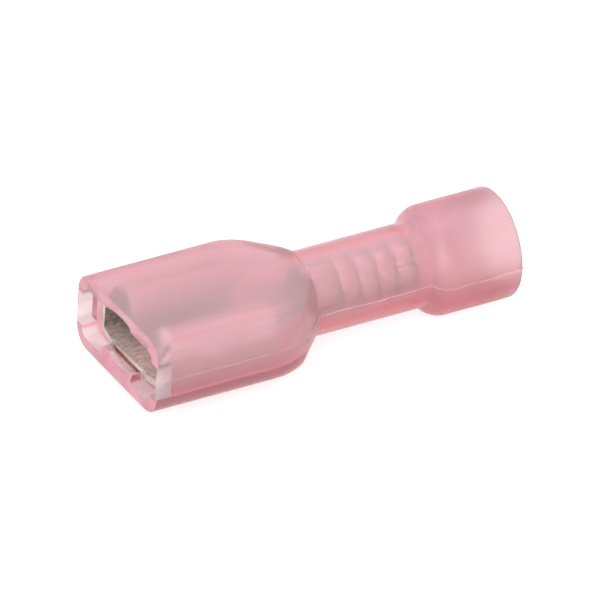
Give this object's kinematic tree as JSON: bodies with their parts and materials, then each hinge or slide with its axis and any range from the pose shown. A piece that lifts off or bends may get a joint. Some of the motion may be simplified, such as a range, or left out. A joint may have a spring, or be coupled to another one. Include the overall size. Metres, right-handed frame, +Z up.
{
  "type": "female spade terminal",
  "caption": "Fully insulated female spade terminal: flat open mouth, round neck and wire bell in translucent nylon around a tinned brass receptacle with a crimp barrel.",
  "frame": {"origin": "middle of the length and of the width, at the lowest point of the wire bell", "axes": "+X along the part's axis, towards the end where the wire goes in, so the mouth for the tab looks along -X; Y across the flat box; +Z up, away from the tab's floor, towards the rolled lips and the seam of the barrel"},
  "size_m": [0.025, 0.0094, 0.0066],
  "materials": {
    "pink_nylon": "translucent, satin moulded",
    "tinned_brass": "bright tin plating over stamped brass"
  },
  "bodies": {
    "root": {"housing": "pink_nylon", "terminal": "tinned_brass"}
  },
  "joints": []
}
